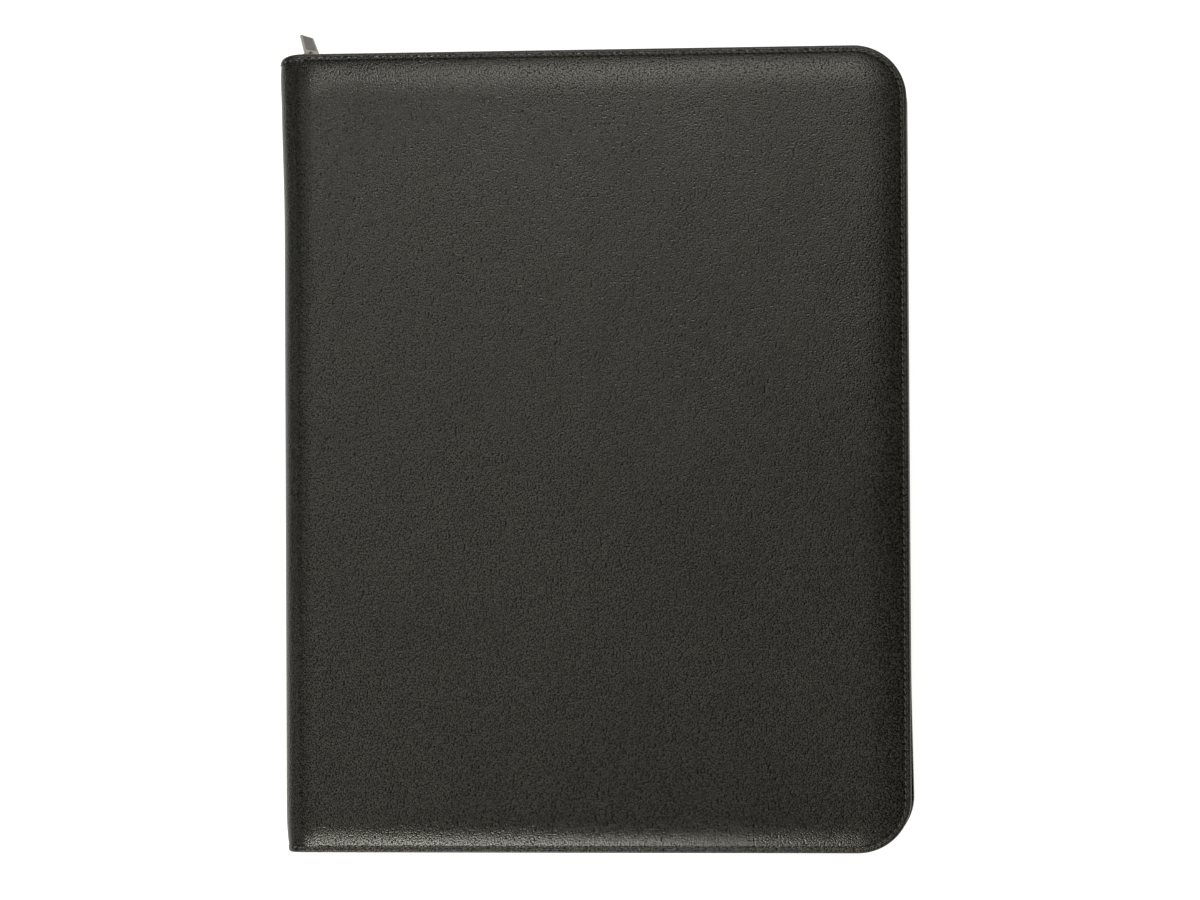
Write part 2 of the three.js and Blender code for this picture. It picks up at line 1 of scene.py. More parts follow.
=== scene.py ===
"""Looks for the zip-around portfolio case: leather, stitching, zip, pull, rings and inside."""

import json
import math

import bmesh
import bpy
import numpy as np
from mathutils import Matrix, Vector


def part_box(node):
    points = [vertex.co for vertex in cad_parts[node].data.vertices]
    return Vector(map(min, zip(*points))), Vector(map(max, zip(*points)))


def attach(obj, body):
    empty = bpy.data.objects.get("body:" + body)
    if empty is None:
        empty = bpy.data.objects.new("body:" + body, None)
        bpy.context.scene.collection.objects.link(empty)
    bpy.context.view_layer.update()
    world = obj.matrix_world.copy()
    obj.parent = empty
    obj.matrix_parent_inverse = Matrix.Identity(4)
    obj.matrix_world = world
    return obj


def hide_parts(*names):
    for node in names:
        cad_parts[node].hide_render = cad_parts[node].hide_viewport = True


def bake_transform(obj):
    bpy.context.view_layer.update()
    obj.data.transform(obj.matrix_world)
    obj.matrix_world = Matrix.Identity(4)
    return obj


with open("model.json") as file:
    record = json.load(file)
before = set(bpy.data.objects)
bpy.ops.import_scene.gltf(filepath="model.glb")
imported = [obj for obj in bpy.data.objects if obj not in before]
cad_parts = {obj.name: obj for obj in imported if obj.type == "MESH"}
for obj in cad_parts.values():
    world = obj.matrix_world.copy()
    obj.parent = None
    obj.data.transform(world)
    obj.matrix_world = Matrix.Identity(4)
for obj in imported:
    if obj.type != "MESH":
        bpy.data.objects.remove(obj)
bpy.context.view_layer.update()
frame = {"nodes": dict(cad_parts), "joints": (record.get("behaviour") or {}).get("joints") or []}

# ---------------------------------------------------------------- sizes, in millimetres until a mesh is made

MM = 0.001


def node_box(node):
    """A CAD node's lowest and highest corners in millimetres."""
    low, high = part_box(node)
    return np.array(low) / MM, np.array(high) / MM


RIGHT, TOP, THICK = node_box("front_leather")[1]
LEFT = -RIGHT
MIDDLE = THICK / 2
FORE_RADIUS = 22.8  # of the two round corners at the fore-edge
ARC = 9.0  # outer radius of the leather where it bends round the spine
SPINE_HALF = MIDDLE - ARC
ARC_LENGTH = ARC * math.pi / 2
FLAT_START = SPINE_HALF + ARC_LENGTH  # distance round the skin at which a cover's flat face starts
FLAT_RIGHT = FLAT_START + RIGHT - LEFT - ARC
CORNER_U = FLAT_RIGHT - FORE_RADIUS
CORNER_Y = TOP - FORE_RADIUS

STITCH_INSET = 2.35
STITCH_PITCH = 3.0

# How far each cover's turned edge lies below its face, and how far below the face the edge's other side is.
RISE = {"front": 3.0, "back": 2.0, "spine": 0.9}
UNDER = {"front": 5.1, "back": 4.3, "spine": 3.6}
BODY = {"front": "front_cover", "back": "back_cover"}


def smooth(t):
    """0 up to t = 0, 1 from t = 1, and an even change between."""
    t = np.clip(t, 0, 1)
    return t * t * (3 - 2 * t)


def ease(value, start, end):
    """0 before start, 1 after end, and an even change between."""
    return smooth((value - start) / (end - start))


# ---------------------------------------------------------------- materials


class Shader:
    """A node material under construction; what makes a node returns its first output socket."""

    def __init__(self, name, **settings):
        self.material = bpy.data.materials.new(name)
        self.material.use_nodes = True
        self.nodes = self.material.node_tree.nodes
        self.links = self.material.node_tree.links
        self.surface = self.nodes["Principled BSDF"]
        for socket, value in settings.items():
            self.set(self.surface, socket.replace("_", " "), value)

    def set(self, node, socket, value):
        if isinstance(value, bpy.types.NodeSocket):
            self.links.new(value, node.inputs[socket])
        else:
            node.inputs[socket].default_value = value

    def put(self, socket, value):
        self.set(self.surface, socket, value)

    def node(self, kind, props=(), **inputs):
        made = self.nodes.new("ShaderNode" + kind)
        for key, value in dict(props).items():
            setattr(made, key, value)
        for key, value in inputs.items():
            socket = int(key[1:]) if key[0] == "i" and key[1:].isdigit() else key.replace("_", " ")
            self.set(made, socket, value)
        return made.outputs[0]

    def math(self, operation, a, b=0.0):
        return self.node("Math", props={"operation": operation}, i0=a, i1=b)

    def uv(self, name):
        made = self.nodes.new("ShaderNodeUVMap")
        made.uv_map = name
        return made.outputs[0]

    def object_place(self):
        return self.nodes.new("ShaderNodeTexCoord").outputs["Object"]

    def noise(self, vector, scale, detail=3.0, rough=0.55, dimensions="3D"):
        return self.node(
            "TexNoise",
            props={"noise_dimensions": dimensions},
            Vector=vector,
            Scale=scale,
            Detail=detail,
            Roughness=rough,
        )

    def parts(self, vector):
        """A vector's three parts."""
        self.node("SeparateXYZ", Vector=vector)
        return self.nodes[-1].outputs

    def shade(self, colour, strength):
        """Colour the surface; strength is a socket that brightens or darkens it."""
        scaled = self.node("VectorMath", props={"operation": "SCALE"}, i0=colour, Scale=strength)
        self.put("Base Color", scaled)

    def ramp(self, value, stops):
        made = self.nodes.new("ShaderNodeValToRGB")
        elements = made.color_ramp.elements
        while len(elements) < len(stops):
            elements.new(0.5)
        for element, (place, colour) in zip(elements, stops):
            element.position = place
            element.color = (*colour, 1)
        self.links.new(value, made.inputs[0])
        return made.outputs[0]

    def span(self, value, low, high, to_low, to_high):
        made = self.nodes.new("ShaderNodeMapRange")
        for socket, number in zip(range(1, 5), (low, high, to_low, to_high)):
            made.inputs[socket].default_value = number
        self.links.new(value, made.inputs[0])
        return made.outputs[0]

    def bump(self, height, strength, distance, normal=None):
        made = self.nodes.new("ShaderNodeBump")
        made.inputs["Strength"].default_value = strength
        made.inputs["Distance"].default_value = distance
        self.links.new(height, made.inputs["Height"])
        if normal is not None:
            self.links.new(normal, made.inputs["Normal"])
        return made.outputs[0]


def grey(level, tint=(1.0, 0.985, 0.93)):
    return tuple(level * t for t in tint)


LEATHER = grey(0.038, (0.99, 1.0, 0.84))
STITCH_GROOVE = 0.0006  # metres from the stitch line over which the groove there fades out


def stitch_holes(s):
    """1 in the holes between stitches, less in the groove along them, and 0 beside the groove; it dents the
    skin and sets its painted shade there.
    """
    along, inset, _ = s.parts(s.uv("edge"))
    phase = s.math("MULTIPLY", along, 2 * math.pi / (STITCH_PITCH * MM))
    wave = s.span(s.math("COSINE", phase), -1.0, 1.0, 0.35, 1.0)
    away = s.math("DIVIDE", s.math("SUBTRACT", inset, STITCH_INSET * MM), STITCH_GROOVE)
    groove = s.math("EXPONENT", s.math("MULTIPLY", s.math("MULTIPLY", away, away), -1.0))
    return s.math("MULTIPLY", groove, wave)


def leather(name, place="uv", pebble=1400.0, depth=0.00012, shade=LEATHER, rough=0.28, stitched=False):
    """Fine pebble grain with painted shade in its creases; with stitched, the skin also dimples round each
    stitch near the edge, with painted shade there.
    """
    s = Shader(name, Specular_IOR_Level=0.5)
    at = s.uv("flat") if place == "uv" else s.object_place()
    dimensions = "2D" if place == "uv" else "3D"
    cells = s.node(
        "TexVoronoi",
        props={"voronoi_dimensions": dimensions, "feature": "SMOOTH_F1"},
        Vector=at,
        Scale=pebble,
        Smoothness=0.35,
    )
    random_per_pebble = s.parts(s.nodes[-1].outputs[1])[0]
    crease = s.math("MULTIPLY", cells, cells)
    fine = s.noise(at, 3200.0, 3.0, dimensions=dimensions)
    broad = s.noise(at, 9.0, 3.0, 0.6, dimensions)
    height = s.math("ADD", s.math("MULTIPLY", crease, -1.0), s.math("MULTIPLY", fine, 0.06))
    normal = s.bump(height, 1.0, depth)
    tone = s.span(broad, 0.3, 0.7, 0.9, 1.12)
    # Painted shade: the colour darkens from each pebble's middle to the creases round it; mottle multiplies
    # this with each pebble's own random tone.
    painted_crease_shade = s.span(crease, 0.0, 0.3, 1.6, 0.1)
    mottle = s.math("MULTIPLY", painted_crease_shade, s.span(random_per_pebble, 0.0, 1.0, 0.45, 1.55))
    strength = s.math("MULTIPLY", tone, mottle)
    if stitched:
        hole = stitch_holes(s)
        normal = s.bump(s.math("MULTIPLY", hole, -1.0), 1.0, 0.00022, normal)
        # Painted shade: the colour darkens in the stitch holes and, less, along the groove between them.
        strength = s.math("MULTIPLY", strength, s.span(hole, 0.4, 1.0, 1.0, 0.4))
    s.shade(shade, strength)
    roughness = s.span(broad, 0.3, 0.7, rough - 0.03, rough + 0.04)
    s.put("Roughness", s.math("ADD", roughness, s.math("MULTIPLY", random_per_pebble, 0.06)))
    s.put("Normal", normal)
    return s.material


def weave(name, shade, pitch, depth=0.00012, rough=0.85, sheen=0.25, place="object"):
    """Plain woven cloth: two crossing sets of threads."""
    s = Shader(name, Specular_IOR_Level=0.3, Sheen_Weight=sheen)
    at = s.object_place() if place == "object" else s.uv("flat")
    x, y, z = s.parts(at)
    wobble = s.math("MULTIPLY", s.noise(at, 160.0), 0.0006)
    rate = 2 * math.pi / (pitch * MM)
    across = s.math("SINE", s.math("MULTIPLY", s.math("ADD", x, wobble), rate))
    down = s.math("ADD", s.math("ADD", y, z), wobble)
    down = s.math("SINE", s.math("MULTIPLY", down, rate))
    height = s.math("MULTIPLY", across, down)
    blotch = s.span(s.noise(at, 60.0, 4.0), 0.3, 0.7, 0.88, 1.12)
    # Painted shade and highlight: the colour is darker where the weave lies low and lighter on its raised
    # crossings; blotch is random tone.
    s.shade(shade, s.math("MULTIPLY", s.span(height, -1.0, 1.0, 0.75, 1.2), blotch))
    s.put("Roughness", rough)
    s.put("Normal", s.bump(height, 0.6, depth))
    return s.material


def metal(name, shade, rough, brushed=0.0, wear=0.06):
    """Metal with fine lines along it and smudges."""
    s = Shader(name, Metallic=1.0)
    at = s.object_place()
    stretched = s.node("Mapping", Vector=at, Scale=(60.0, 1800.0, 60.0))
    lines = s.noise(stretched, 12.0, 3.0)
    smudge = s.noise(at, 90.0, 4.0)
    s.shade(shade, s.span(smudge, 0.3, 0.7, 0.93, 1.05))
    roughness = s.span(smudge, 0.3, 0.7, rough - wear, rough + wear)
    s.put("Roughness", s.math("ADD", roughness, s.math("MULTIPLY", lines, brushed)))
    s.put("Normal", s.bump(lines, 0.15 + brushed, 0.00004))
    return s.material


def plain(name, shade, rough, grain=900.0, depth=0.0001):
    """Moulded, cut or foamed material with a fine random surface."""
    s = Shader(name)
    fleck = s.noise(s.object_place(), grain, 4.0, 0.65)
    s.shade(shade, s.span(fleck, 0.3, 0.7, 0.88, 1.12))
    s.put("Roughness", s.span(fleck, 0.3, 0.7, rough - 0.05, rough + 0.05))
    s.put("Normal", s.bump(fleck, 0.4, depth))
    return s.material


def paper():
    """White, and bright enough to stay white in the picture."""
    s = Shader("paper_floor", Roughness=0.9, Specular_IOR_Level=0.1)
    mottle = s.noise(s.object_place(), 3.0)
    s.put("Base Color", s.ramp(mottle, [(0.3, (0.86, 0.86, 0.85)), (0.7, (0.9, 0.9, 0.89))]))
    s.put("Emission Color", (1.0, 1.0, 0.995, 1.0))
    s.put("Emission Strength", 0.9)
    return s.material


NEUTRAL = (1, 1, 1)
COOL = (1, 1, 1.03)

MATERIALS = {
    "skin": leather("skin_leather", stitched=True),
    "trim": leather("trim_leather", "object", pebble=1100.0, depth=0.00014, shade=grey(0.03), rough=0.5),
    "slot": leather("slot_leather", "object", pebble=900.0, depth=0.00018, shade=grey(0.036), rough=0.46),
    # The thread's grey is lighter than the black thread itself, a painted highlight that shows the stitches
    # as light dots.
    "thread": weave("thread", grey(0.11), 0.35, depth=0.00005, rough=0.28, sheen=0.0),
    "lining": weave("lining_cloth", grey(0.026, COOL), 0.9),
    "pocket": weave("pocket_cloth", grey(0.04, (1, 1, 1.02)), 0.9),
    "hinge": weave("hinge_cloth", grey(0.026, COOL), 0.9, place="uv"),
    "tape": weave("tape_cloth", grey(0.018, NEUTRAL), 0.8, depth=0.0002),
    "elastic": weave("elastic", grey(0.018, NEUTRAL), 1.2, depth=0.0003),
    "teeth": plain("moulded_teeth", grey(0.014, NEUTRAL), 0.38, depth=0.00003),
    "pull": metal("pull_metal", (0.29, 0.275, 0.255), 0.42, brushed=0.12),
    "zip_metal": metal("zip_metal", (0.42, 0.40, 0.38), 0.3),
    "chrome": metal("ring_chrome", (0.78, 0.78, 0.79), 0.12, wear=0.03),
    "board": plain("grey_board", (0.24, 0.2, 0.16), 0.9, grain=500.0, depth=0.0002),
    "foam": plain("foam", (0.07, 0.07, 0.075), 0.95, grain=1400.0, depth=0.0004),
    "paper": paper(),
}

# ---------------------------------------------------------------- mesh helpers


def add_object(name, data):
    obj = bpy.data.objects.new(name, data)
    bpy.context.scene.collection.objects.link(obj)
    return obj


def add_mesh(name, points, faces, material, uvs=None):
    """A mesh object from points in millimetres; uvs is {layer: one (u, v) in metres per point}."""
    mesh = bpy.data.meshes.new(name)
    mesh.from_pydata((np.asarray(points, float) * MM).tolist(), [], [tuple(map(int, f)) for f in faces])
    mesh.materials.append(MATERIALS[material])
    index = np.zeros(len(mesh.loops), int)
    mesh.loops.foreach_get("vertex_index", index)
    for layer, values in (uvs or {}).items():
        made = mesh.uv_layers.new(name=layer)
        made.data.foreach_set("uv", np.asarray(values, float)[index].ravel())
    mesh.shade_smooth()
    return add_object(name, mesh)


def strip_faces(n_rows, n_columns, close_rows=False, close_columns=False, start=0):
    """Quads of a grid stored row by row."""
    faces = []
    for i in range(n_rows if close_rows else n_rows - 1):
        for j in range(n_columns if close_columns else n_columns - 1):
            a, b = i * n_columns, ((i + 1) % n_rows) * n_columns
            k = (j + 1) % n_columns
            faces.append((start + a + j, start + a + k, start + b + k, start + b + j))
    return faces


def point_outwards(obj):
    work = bmesh.new()
    work.from_mesh(obj.data)
    bmesh.ops.recalc_face_normals(work, faces=work.faces)
    work.to_mesh(obj.data)
    work.free()
    return obj


def by_angle(obj, degrees):
    """Smooth shading, except over sharper edges."""
    obj.data.shade_smooth()
    chosen = {"selected_editable_objects": [obj], "selected_objects": [obj]}
    with bpy.context.temp_override(object=obj, active_object=obj, **chosen):
        bpy.ops.object.shade_smooth_by_angle(angle=math.radians(degrees))
    return obj


def bevelled(obj, width):
    """Round the sharper edges off a little."""
    bevel = obj.modifiers.new("edge", "BEVEL")
    bevel.width = width * MM
    bevel.segments = 2
    bevel.limit_method = "ANGLE"
    bevel.angle_limit = math.radians(30)
    return obj


def ride(obj, body, replaces=()):
    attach(obj, body)
    if replaces:
        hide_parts(*replaces)
    return obj


def spread(start, stop, step):
    """Even places from start to stop, about a step apart."""
    return np.linspace(start, stop, max(2, int(round((stop - start) / step)) + 1))


def around(count):
    """Angles evenly round a full circle."""
    return np.linspace(0, 2 * math.pi, count, endpoint=False)


def unit_rows(rows):
    return rows / np.linalg.norm(rows, axis=1)[:, None]


def right_of(ahead):
    """The direction to the right of each direction along a flat route."""
    return np.stack([ahead[:, 1], -ahead[:, 0]], 1)


def distances(line):
    """The distance along a line to each of its points."""
    steps = np.linalg.norm(np.diff(line, axis=0), axis=1)
    return np.concatenate([[0], np.cumsum(steps)])


def points_at(places, lengths, line):
    """The points of a line at the given distances along it."""
    return np.column_stack([np.interp(places, lengths, column) for column in line.T])


# ---------------------------------------------------------------- leather skins
# A skin is half of the case's wrap: u is the distance round it from the middle of the spine, over the round
# corner, to the fore-edge; y is the height along the spine; depth is measured in from the wrap's outer face.


COARSE = 3.4  # grid step where the skin is nearly flat
U_STRETCHES = [  # (from, to, grid step), finest over the round corner of the spine
    (0, SPINE_HALF - 1, 1.6),
    (SPINE_HALF - 1, FLAT_START + 2, 0.8),
    (FLAT_START + 2, 50, 1.3),
    (50, CORNER_U, COARSE),
]
U_RUN = np.unique(np.concatenate([spread(*stretch) for stretch in U_STRETCHES]).round(5))
Y_RUN = spread(-CORNER_Y, CORNER_Y, COARSE)
CORNER_STEPS = 26


def skin_path(inset):
    """(u, y) of every station round foot, fore-edge and head, a distance in from the edge."""
    r = FORE_RADIUS - inset
    foot = [(u, -TOP + inset) for u in U_RUN]
    turn = np.linspace(0, math.pi / 2, CORNER_STEPS + 1)[1:-1]
    foot_corner = [(CORNER_U + r * math.sin(a), -CORNER_Y - r * math.cos(a)) for a in turn]
    fore = [(FLAT_RIGHT - inset, y) for y in Y_RUN]
    head_corner = [(CORNER_U + r * math.cos(a), CORNER_Y + r * math.sin(a)) for a in turn]
    head = [(u, TOP - inset) for u in U_RUN[::-1]]
    return np.array(foot + foot_corner + fore + head_corner + head)


# How much the spine falls short of the covers, and over what width, which rounds the case's corners there.
SPINE_SHORT = {"foot": (1.1, 2.6), "head": (3.8, 10.0)}


def head_swell(u, y):
    """How far the spine side bulges outwards towards the head."""
    return (1.2 * ease(y, 95, 160) + 1.0 * ease(y, 150, 168)) * (1 - ease(u, 6, 40))


def place_on_wrap(side, u, y, depth):
    u, y, depth = np.broadcast_arrays(u, y, np.asarray(depth, float))
    angle = np.clip((u - SPINE_HALF) / ARC, 0, math.pi / 2)
    reach = ARC - depth
    x = LEFT + ARC - reach * np.cos(angle) + np.maximum(u - FLAT_START, 0)
    z = MIDDLE + SPINE_HALF + reach * np.sin(angle) - np.maximum(SPINE_HALF - u, 0)
    for end, sign in (("foot", -1), ("head", 1)):
        short, width = SPINE_SHORT[end]
        bend = np.clip((x - LEFT) / width, 0, 1)
        y = y - short * (1 - np.sqrt(1 - (1 - bend) ** 2)) * np.clip(sign * y / TOP, 0, 1) * sign
    x = x - head_swell(u, y)
    if side == "back":
        z = THICK - z
        x = x + 1.0 * ease(x, 40, 100) * ease(-y, 90, 165)  # past the front cover at the foot's fore-edge
    return np.stack([x, y, z], -1)


EDGE = [  # (inset, share of the way from the turned edge's under side to its face, lift above the face)
    (7.0, 0.0, 0.0), (4.0, 0.0, 0.0), (1.4, 0.0, 0.0), (0.6, 0.04, 0.0), (0.14, 0.2, 0.0), (0.0, 0.5, 0.0),
    (0.12, 0.76, 0.0), (0.45, 0.93, 0.0), (0.9, 1.0, 0.08), (1.4, 1.0, 0.12), (1.85, 1.0, -0.04),
    (2.35, 1.0, -0.28), (2.75, 1.0, -0.1),
]
CROWN_INSETS = np.array([3.2, 3.8, 4.6, 5.6, 6.8, 8.2, 9.8, 11.6, 13.6, 15.8, 18.0, 20.0, 21.6])
CROWN_START = 2.9
LEATHER_THICK = 0.7
CROWN_WIDTH = {"front": 16.0, "back": 15.0}
CROWN_POWER = 2.3


def ripple(side, u, y):
    """Slight unevenness of the padding, in millimetres."""
    k = 1.0 if side == "front" else -0.8
    return (
        0.10 * np.sin(0.021 * u * k + 0.013 * y + 0.7)
        + 0.07 * np.sin(0.047 * y - 0.019 * u + 2.1 * k)
        + 0.05 * np.sin(0.071 * u + 0.053 * y * k + 4.0)
        + 0.025 * np.sin(0.15 * u - 0.11 * y + 1.3)
    )


BESIDE_SPINE = 1.6  # how much lower a cover's face lies just beside the spine
SETTLED = 0.26  # how much lower it lies on the padding


def skin_depth(side, u, y, inset, level=None, lift=0.0):
    """Depth of the skin at an inset from its edge; with level, on the turned edge there."""
    cover = ease(u, SPINE_HALF, FLAT_START)  # 0 on the spine, 1 on a cover
    rise = RISE["spine"] + (RISE[side] - RISE["spine"]) * cover
    under = UNDER["spine"] + (UNDER[side] - UNDER["spine"]) * cover
    if level is not None:
        return under + (rise - under) * level - lift
    t = np.clip((inset - CROWN_START) / CROWN_WIDTH[side], 0, 1)
    depth = rise * (1 - t) ** CROWN_POWER
    beside_spine = ease(u, SPINE_HALF, SPINE_HALF + 9.5) * (1 - ease(u, 18.0, 28.5))
    depth = depth + BESIDE_SPINE * beside_spine * (1 - 0.6 * depth / RISE[side])
    settled = ease(u, 12, 42) * ease(inset, 4, 16)
    return depth + (SETTLED + ripple(side, u, y)) * settled


TURNED_REACH = 2.2  # how far past the edge the grain runs on over the turned edge's side
OFF_EDGE = -5.0  # edge distances for the side and under side, and for the middle, which no groove reaches
MIDDLE_EDGE = 100.0


def make_skin(side):
    rows = list(EDGE) + [(inset, None, 0.0) for inset in CROWN_INSETS]
    lengths = distances(skin_path(STITCH_INSET))
    points, flat, edge = [], [], []
    for inset, level, lift in rows:
        path = skin_path(inset)
        u, y = path[:, 0], path[:, 1]
        on_face = level is None or level >= 1
        points.append(place_on_wrap(side, u, y, skin_depth(side, u, y, inset, level, lift)))
        flat.append(path if on_face else skin_path((level - 1) * TURNED_REACH))
        edge.append(np.column_stack([lengths, np.full(len(lengths), inset if on_face else OFF_EDGE)]))
    n = len(lengths)
    faces = strip_faces(len(rows), n)
    inner_start = len(rows) * n
    grid_u, grid_y = np.meshgrid(U_RUN, Y_RUN, indexing="ij")
    inside = np.minimum(np.minimum(FLAT_RIGHT - grid_u, TOP - grid_y), TOP + grid_y)
    grid_depth = skin_depth(side, grid_u, grid_y, inside)
    points.append(place_on_wrap(side, grid_u, grid_y, grid_depth).reshape(-1, 3))
    flat.append(np.stack([grid_u, grid_y], -1).reshape(-1, 2))
    edge.append(np.full((grid_u.size, 2), MIDDLE_EDGE))
    nu, ny = len(U_RUN), len(Y_RUN)
    corner = CORNER_STEPS - 1
    border = (
        [(j, 0) for j in range(nu)]
        + [(nu - 1, 0)] * corner
        + [(nu - 1, k) for k in range(ny)]
        + [(nu - 1, ny - 1)] * corner
        + [(j, ny - 1) for j in range(nu - 1, -1, -1)]
    )
    last = (len(rows) - 1) * n
    for k in range(n - 1):
        a = inner_start + border[k][0] * ny + border[k][1]
        b = inner_start + border[k + 1][0] * ny + border[k + 1][1]
        faces.append((last + k, last + k + 1, b, a) if a != b else (last + k, last + k + 1, a))
    faces += [(a, d, c, b) for a, b, c, d in strip_faces(nu, ny, start=inner_start)]
    uvs = {"flat": np.concatenate(flat) * MM, "edge": np.concatenate(edge) * MM}
    return point_outwards(add_mesh(f"skin_{side}", np.concatenate(points), faces, "skin", uvs))


def bend_over_spine(obj):
    """Bakes obj's placement into its points."""
    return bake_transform(obj)


def capsule_chain(name, centres, alongs, ups, length, radius, sides=8):
    """One mesh of short rounded threads; each has a centre, a direction and an up, and dips at its ends."""
    rings = [(-0.5, 0.0), (-0.47, 0.55), (-0.36, 0.95), (0.0, 1.0), (0.36, 0.95), (0.47, 0.55), (0.5, 0.0)]
    points, faces = [], []
    turns = around(sides)
    for c, t, up in zip(centres, alongs, ups):
        t = t / np.linalg.norm(t)
        side = np.cross(t, up)
        side /= np.linalg.norm(side)
        up = np.cross(side, t)
        first = len(points)
        for share, wide in rings:
            dip = 0.56 * radius * (abs(share) * 2) ** 3
            base = c + t * share * length - up * dip
            if wide == 0:
                points.append(base)
                continue
            for a in turns:
                points.append(base + radius * wide * (side * math.cos(a) + up * math.sin(a)))
        loops = [first + 1 + i * sides for i in range(len(rings) - 2)]
        end = first + 1 + (len(rings) - 2) * sides
        for j in range(sides):
            k = (j + 1) % sides
            faces.append((first, loops[0] + k, loops[0] + j))
            for a, b in zip(loops, loops[1:]):
                faces.append((a + j, a + k, b + k, b + j))
            faces.append((end, loops[-1] + j, loops[-1] + k))
    return add_mesh(name, points, faces, "thread")


STITCH = {"length": 2.25, "radius": 0.34, "slant": 0.2, "sunk": 0.12}


def make_skin_stitches(side):
    """The thread on the face of the turned edge."""
    line = skin_path(STITCH_INSET)
    lengths = distances(line)
    places = (np.arange(int(lengths[-1] // STITCH_PITCH)) + 0.5) * STITCH_PITCH
    u, y = points_at(places, lengths, line).T
    u_next, y_next = points_at(places + 0.5, lengths, line).T
    depth = skin_depth(side, u, y, STITCH_INSET, 1.0, -STITCH["sunk"])
    centre = place_on_wrap(side, u, y, depth)
    ahead = unit_rows(place_on_wrap(side, u_next, y_next, depth) - centre)
    up = place_on_wrap(side, u, y, depth - 1) - centre
    turned = ahead + STITCH["slant"] * np.cross(up, ahead)
    return capsule_chain(f"stitches_{side}", centre, turned, up, STITCH["length"], STITCH["radius"])


def make_leather():
    for side in ("front", "back"):
        skin = make_skin(side)
        bend_over_spine(skin)
        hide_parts(f"{side}_leather", "spine_leather")
        bend_over_spine(make_skin_stitches(side))


# ---------------------------------------------------------------- flat pieces


def outline(inset, left, left_radius=1.5):
    """Outline of a cover-shaped piece, anticlockwise from above, an inset in from the cover's edges."""
    r = max(FORE_RADIUS - inset, 0.6)
    x1, y1 = RIGHT - inset, TOP - inset
    q = left_radius
    turn = np.linspace(0, math.pi / 2, 14)
    small = np.linspace(0, math.pi / 2, 5)
    points = [(left + q - q * math.cos(a), -y1 + q - q * math.sin(a)) for a in small]
    points += [(x1 - r + r * math.sin(a), -y1 + r - r * math.cos(a)) for a in turn]
    points += [(x1 - r + r * math.cos(a), y1 - r + r * math.sin(a)) for a in turn]
    points += [(left + q - q * math.sin(a), y1 - q + q * math.cos(a)) for a in small]
    return np.array(points)


def loft(name, loops, material, degrees=40):
    """A closed solid through loops of points, capped at both ends."""
    n = len(loops[0])
    faces = strip_faces(len(loops), n, close_columns=True)
    faces.append(tuple(range(n - 1, -1, -1)))
    last = (len(loops) - 1) * n
    faces.append(tuple(range(last, last + n)))
    return by_angle(point_outwards(add_mesh(name, np.concatenate(loops), faces, material)), degrees)


def shrink(points, inset):
    """The loop moved in by an inset, corner by corner."""
    if inset == 0:
        return points
    ahead = np.roll(points, -1, 0) - points
    ahead /= np.maximum(np.linalg.norm(ahead, axis=1), 1e-9)[:, None]
    normal = np.stack([-ahead[:, 1], ahead[:, 0]], 1)
    both = normal + np.roll(normal, 1, 0)
    size = np.maximum((both * normal).sum(1), 0.4)[:, None]
    return points + inset * both / size


SHEET_ROUNDING = 0.18


def flat_piece(name, loop, z, material):
    """A thin sheet with rounded edges, between two heights."""
    low, high = z
    rounding = min(SHEET_ROUNDING, (high - low) / 2)
    profile = [(rounding, low), (0.0, low + rounding), (0.0, high - rounding), (rounding, high)]
    loops = [np.column_stack([shrink(loop, d), np.full(len(loop), h)]) for d, h in profile]
    return loft(name, loops, material)


def stitch_row(name, line, z, body, slot, up=1.0, pitch=3.0):
    """A row of stitches along a line of (x, y) points at a height."""
    line = np.array(line, float)
    lengths = distances(line)
    places = (np.arange(int(lengths[-1] // pitch)) + 0.5) * pitch
    here = points_at(places, lengths, line)
    ahead = points_at(places + 0.3, lengths, line) - here
    centre = np.column_stack([here, np.full(len(here), z)])
    along = np.column_stack([ahead, np.zeros(len(here))])
    ups = np.tile([0.0, 0.0, up], (len(here), 1))
    return ride(capsule_chain(name, centre, along, ups, 0.72 * pitch, 0.25, sides=6), body)


# ---------------------------------------------------------------- zip

ZIP_INSET = 2.6
TAPE_END_X = node_box("zip_tape_back")[0][0]
ROW_BACK = [node_box("zip_teeth_back")[i][2] for i in (0, 1)]
ROW_FRONT = [node_box("zip_teeth_front")[i][2] for i in (0, 1)]
UNDER_Z = {"front": THICK - UNDER["front"], "back": UNDER["back"]}
LINING_Z = {"front": node_box("front_lining")[1][2], "back": node_box("back_lining")[0][2]}
SLIDER_RIGHT = node_box("zip_slider")[1][0]


def zip_path(inset, x_start, step=2.0):
    """(x, y) points and outward normals round foot, fore-edge and head."""
    r = FORE_RADIUS - inset
    cx, cy = RIGHT - FORE_RADIUS, TOP - FORE_RADIUS
    xs = spread(x_start, cx, step)
    ys = spread(-cy, cy, step)
    turn = np.linspace(0, math.pi / 2, 20)[1:-1]
    points = [(x, -TOP + inset, 0, -1) for x in xs]
    points += [(cx + r * math.sin(a), -cy - r * math.cos(a), math.sin(a), -math.cos(a)) for a in turn]
    points += [(RIGHT - inset, y, 1, 0) for y in ys]
    points += [(cx + r * math.cos(a), cy + r * math.sin(a), math.cos(a), math.sin(a)) for a in turn]
    points += [(x, TOP - inset, 0, 1) for x in xs[::-1]]
    table = np.array(points, float)
    return table[:, :2], table[:, 2:]


TAPE_HALF = 0.24  # half the tape's thickness
TAPE_LIFT = 2.6  # how far the front tape is held up out of the parked slider's way
WALL_START = 2.0


def tape_route(height):
    """(distance out from the zip's line, distance towards the teeth), from the sewn-in edge to the teeth."""
    route = [(-4.4, 0.0), (-2.0, 0.0), (-0.6, 0.05), (0.0, 0.6), (0.22, WALL_START)]
    for t in (0.25, 0.5, 0.75, 0.95):
        route.append((0.3 * math.sin(math.pi * t) + 0.1, WALL_START + (height - WALL_START) * t))
    return np.array(route + [(0.0, height + 0.35)])


